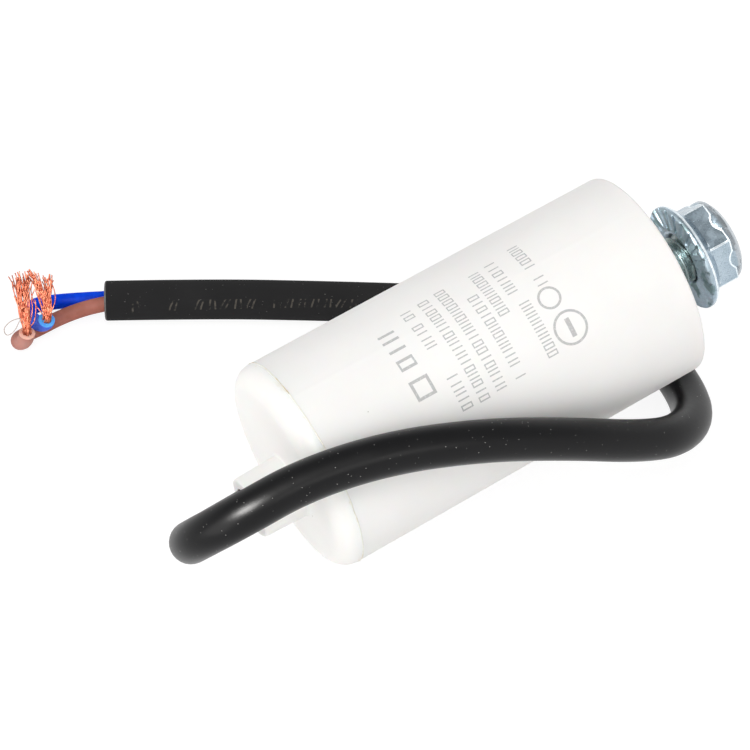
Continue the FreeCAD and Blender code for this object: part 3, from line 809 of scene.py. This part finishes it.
head = rod("stud_head", HEAD_FLATS / math.sqrt(3), HEAD_START, HEAD_END, corners=6)
shank = rod("stud_shank", STUD_RADIUS, HEAD_END - OVERLAP, SHANK_END)
core = rod("stud_core", THREAD_ROOT, -OVERLAP, STUD_REACH, edge=END_BEVEL)
stud = joined([core, shank, head, thread_ridge()], "stud_threaded")
stud.data.transform(
    CAN_PLACE @ Matrix.Translation(STUD_FOOT) @ Matrix.Rotation(math.radians(90), 4, "Y"))
select_only(stud)
bpy.ops.object.shade_smooth_by_angle(angle=math.radians(32))
dress(stud, zinc("stud_zinc", (0.285, 0.35, 0.345), (0.47, 0.53, 0.525)))
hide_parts("mounting_stud")


# Nut: a cold-formed steel hexagon flange nut, zinc plated, with ratchet teeth on its
# face and its flats running out below a domed crown. The edges of its flats and the
# rim of its flange are rounded from the die; these rounds and the narrow strips between
# the flats are painted in a pale bluish white, as painted highlight.
EDGE_ROUND = 0.00026
FLAT_AREA = 1e-5
CORNER_REACH = 0.0071
CORNER_START = 0.0077
RIM_REACH = 0.00885
RIM_START = 0.0074
RIM_END = 0.0078
RUN_OUT_START = 0.009
RUN_OUT_ANGLE = math.radians(12)
NUT_AXIS = CAN_PLACE.to_3x3() @ Vector((1, 0, 0))
NUT_FOOT = CAN_PLACE @ STUD_FOOT


def nut_place(spots):
    """The spots' smallest distance from the stud's axis, and their heights along it."""
    arms = [spot - NUT_FOOT for spot in spots]
    heights = [arm.dot(NUT_AXIS) for arm in arms]
    reach = min((arm - NUT_AXIS * height).length for arm, height in zip(arms, heights))
    return reach, heights


def on_flat(face):
    """Whether a face is one of the hexagon's six flats."""
    return abs(face.normal.dot(NUT_AXIS)) < 0.02 and face.calc_area() > FLAT_AREA


def on_corner(face):
    """Whether a face is the narrow strip between two flats."""
    reach, heights = nut_place([nut.data.vertices[index].co for index in face.vertices])
    return reach > CORNER_REACH and min(heights) > CORNER_START


def rounded_edge(line):
    """How far a flat's run-out at the crown, or the flange's rim, is rounded: 0 to 1."""
    reach, heights = nut_place([vertex.co for vertex in line.verts])
    rim = reach > RIM_REACH and min(heights) > RIM_START and max(heights) < RIM_END
    flat = any(on_flat(face) for face in line.link_faces)
    run_out = flat and min(heights) > RUN_OUT_START and line.calc_face_angle(0) > RUN_OUT_ANGLE
    if not (rim or run_out):
        return 0.0
    return 1.0 if line.is_convex else 0.5


nut = bpy.data.objects.new("nut_body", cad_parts["flange_nut"].data.copy())
bpy.context.scene.collection.objects.link(nut)
dress(nut, zinc("nut_zinc", (0.39, 0.48, 0.555), (0.48, 0.575, 0.65)))
# Painted highlight: a pale bluish white zinc for the rounded edges and the corner strips.
nut.data.materials.append(zinc("edge_glint_zinc", (0.82, 0.90, 0.95), (0.92, 0.97, 1.0), worn=0.2))
select_only(nut)
bpy.ops.object.mode_set(mode="EDIT")
bpy.ops.mesh.select_all(action="SELECT")
bpy.ops.mesh.remove_doubles(threshold=1e-6)
bpy.ops.mesh.dissolve_limited(angle_limit=math.radians(1))
mesh = bmesh.from_edit_mesh(nut.data)
weight = mesh.edges.layers.float.new("bevel_weight_edge")
for line in mesh.edges:
    line[weight] = rounded_edge(line)
bmesh.update_edit_mesh(nut.data)
bpy.ops.object.mode_set(mode="OBJECT")
rounding = nut.modifiers.new("rounding", "BEVEL")
rounding.limit_method = "WEIGHT"
rounding.width = EDGE_ROUND
rounding.segments = 3
# The rounds take the pale material: painted highlight.
rounding.material = 1
rounding.use_clamp_overlap = False
bpy.ops.object.modifier_apply(modifier="rounding")
# The strips between the flats take the pale material too: painted highlight.
for face in nut.data.polygons:
    if abs(face.normal.dot(NUT_AXIS)) < 0.05 and face.area < FLAT_AREA and on_corner(face):
        face.material_index = 1
bpy.ops.object.shade_smooth_by_angle(angle=math.radians(34))
smoothing = nut.modifiers.new("smoothing", "WEIGHTED_NORMAL")
smoothing.weight = 100
smoothing.keep_sharp = True
bpy.ops.object.modifier_apply(modifier="smoothing")
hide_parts("flange_nut")


# Studio: a white sweep that shows plain white to the lens, with the object's own soft
# shadow on it, and even light from all sides with a large soft lamp near the lens.
def studio_floor():
    """Pale paper that glows white for the lens and in what mirrors it."""
    finish = Finish("studio_floor")
    seen = finish.node("ShaderNodeLightPath", output="Is Camera Ray")
    for kind in ("Is Glossy Ray", "Is Transmission Ray"):
        seen = seen.largest(finish.node("ShaderNodeLightPath", output=kind))
    grain = finish.noise(30, 2)
    paper = finish.node("ShaderNodeBsdfDiffuse", None, {
        "Color": finish.mix(grain, (0.78, 0.78, 0.78), (0.80, 0.80, 0.80))})
    thin = finish.node("ShaderNodeBsdfDiffuse", None, {"Color": (0.2, 0.2, 0.2)})
    glow = finish.node("ShaderNodeEmission", None, {"Color": (1, 1, 1), "Strength": 0.88})
    both = finish.node("ShaderNodeAddShader", None, {0: thin, 1: glow})
    finish.end_in(finish.node("ShaderNodeMixShader", None, {0: seen, 1: paper, 2: both}))
    return finish.material


select_only()
bpy.ops.mesh.primitive_plane_add(size=4, location=(0, 0, 0))
floor = bpy.context.object
floor.name = "studio_floor"
floor.data.materials.append(studio_floor())


def studio_sky():
    """Even light, with white walls and a dim ceiling for what reflects them."""
    world = bpy.data.worlds.new("studio")
    sky = Finish("studio", world)
    x, y, z = sky.axes(sky.node("ShaderNodeTexCoord", output="Generated"))
    shown = sky.node("ShaderNodeLightPath", output="Is Camera Ray").largest(
        sky.node("ShaderNodeLightPath", output="Is Transmission Ray"))
    mirrored = sky.node("ShaderNodeLightPath", output="Is Glossy Ray")
    ceiling = z.stretch(0.25, 0.6)
    ambient = sky.node("ShaderNodeBackground", None, {"Color": (0.995, 0.995, 1), "Strength": 0.73})
    room = sky.node("ShaderNodeBackground", None, {
        "Color": sky.mix(ceiling, (1, 1, 1), (0.36, 0.37, 0.37)), "Strength": 1.0})
    white = sky.node("ShaderNodeBackground", None, {"Color": (1, 1, 1), "Strength": 1.0})
    light = sky.node("ShaderNodeMixShader", None, {0: mirrored, 1: ambient, 2: room})
    both = sky.node("ShaderNodeMixShader", None, {0: shown, 1: light, 2: white})
    sky.end_in(both, "ShaderNodeOutputWorld")
    return world


bpy.context.scene.world = studio_sky()


def soft_lamp(name, place, target, width, power, lights=True, shines=True):
    """A square softbox aimed at a point, for what it lights, what mirrors it, or both."""
    lamp = bpy.data.lights.new(name, "AREA")
    lamp.shape = "SQUARE"
    lamp.size = width
    lamp.energy = power
    lamp.color = (1, 0.985, 0.965)
    made = bpy.data.objects.new(name, lamp)
    made.location = place
    aim = Vector(target) - Vector(place)
    made.rotation_euler = aim.to_track_quat("-Z", "Y").to_euler()
    made.visible_diffuse = lights
    made.visible_glossy = shines
    bpy.context.scene.collection.objects.link(made)


soft_lamp("key_lamp", (-0.22, -0.24, 0.90), (-0.01, 0.0, 0.01), 0.3, 1.4, shines=False)
soft_lamp("left_lamp", (-0.80, -0.26, 0.30), (-0.03, 0.0, 0.02), 0.8, 3.75)
soft_lamp("front_lamp", (0.17, -0.70, 0.63), (0.0, 0.0, 0.01), 0.3, 0.8)
soft_lamp("glint_lamp", (-0.39, -0.26, 0.83), (-0.04, -0.01, 0.03), 0.36, 28.0, lights=False)

bpy.context.scene.view_settings.view_transform = "Standard"
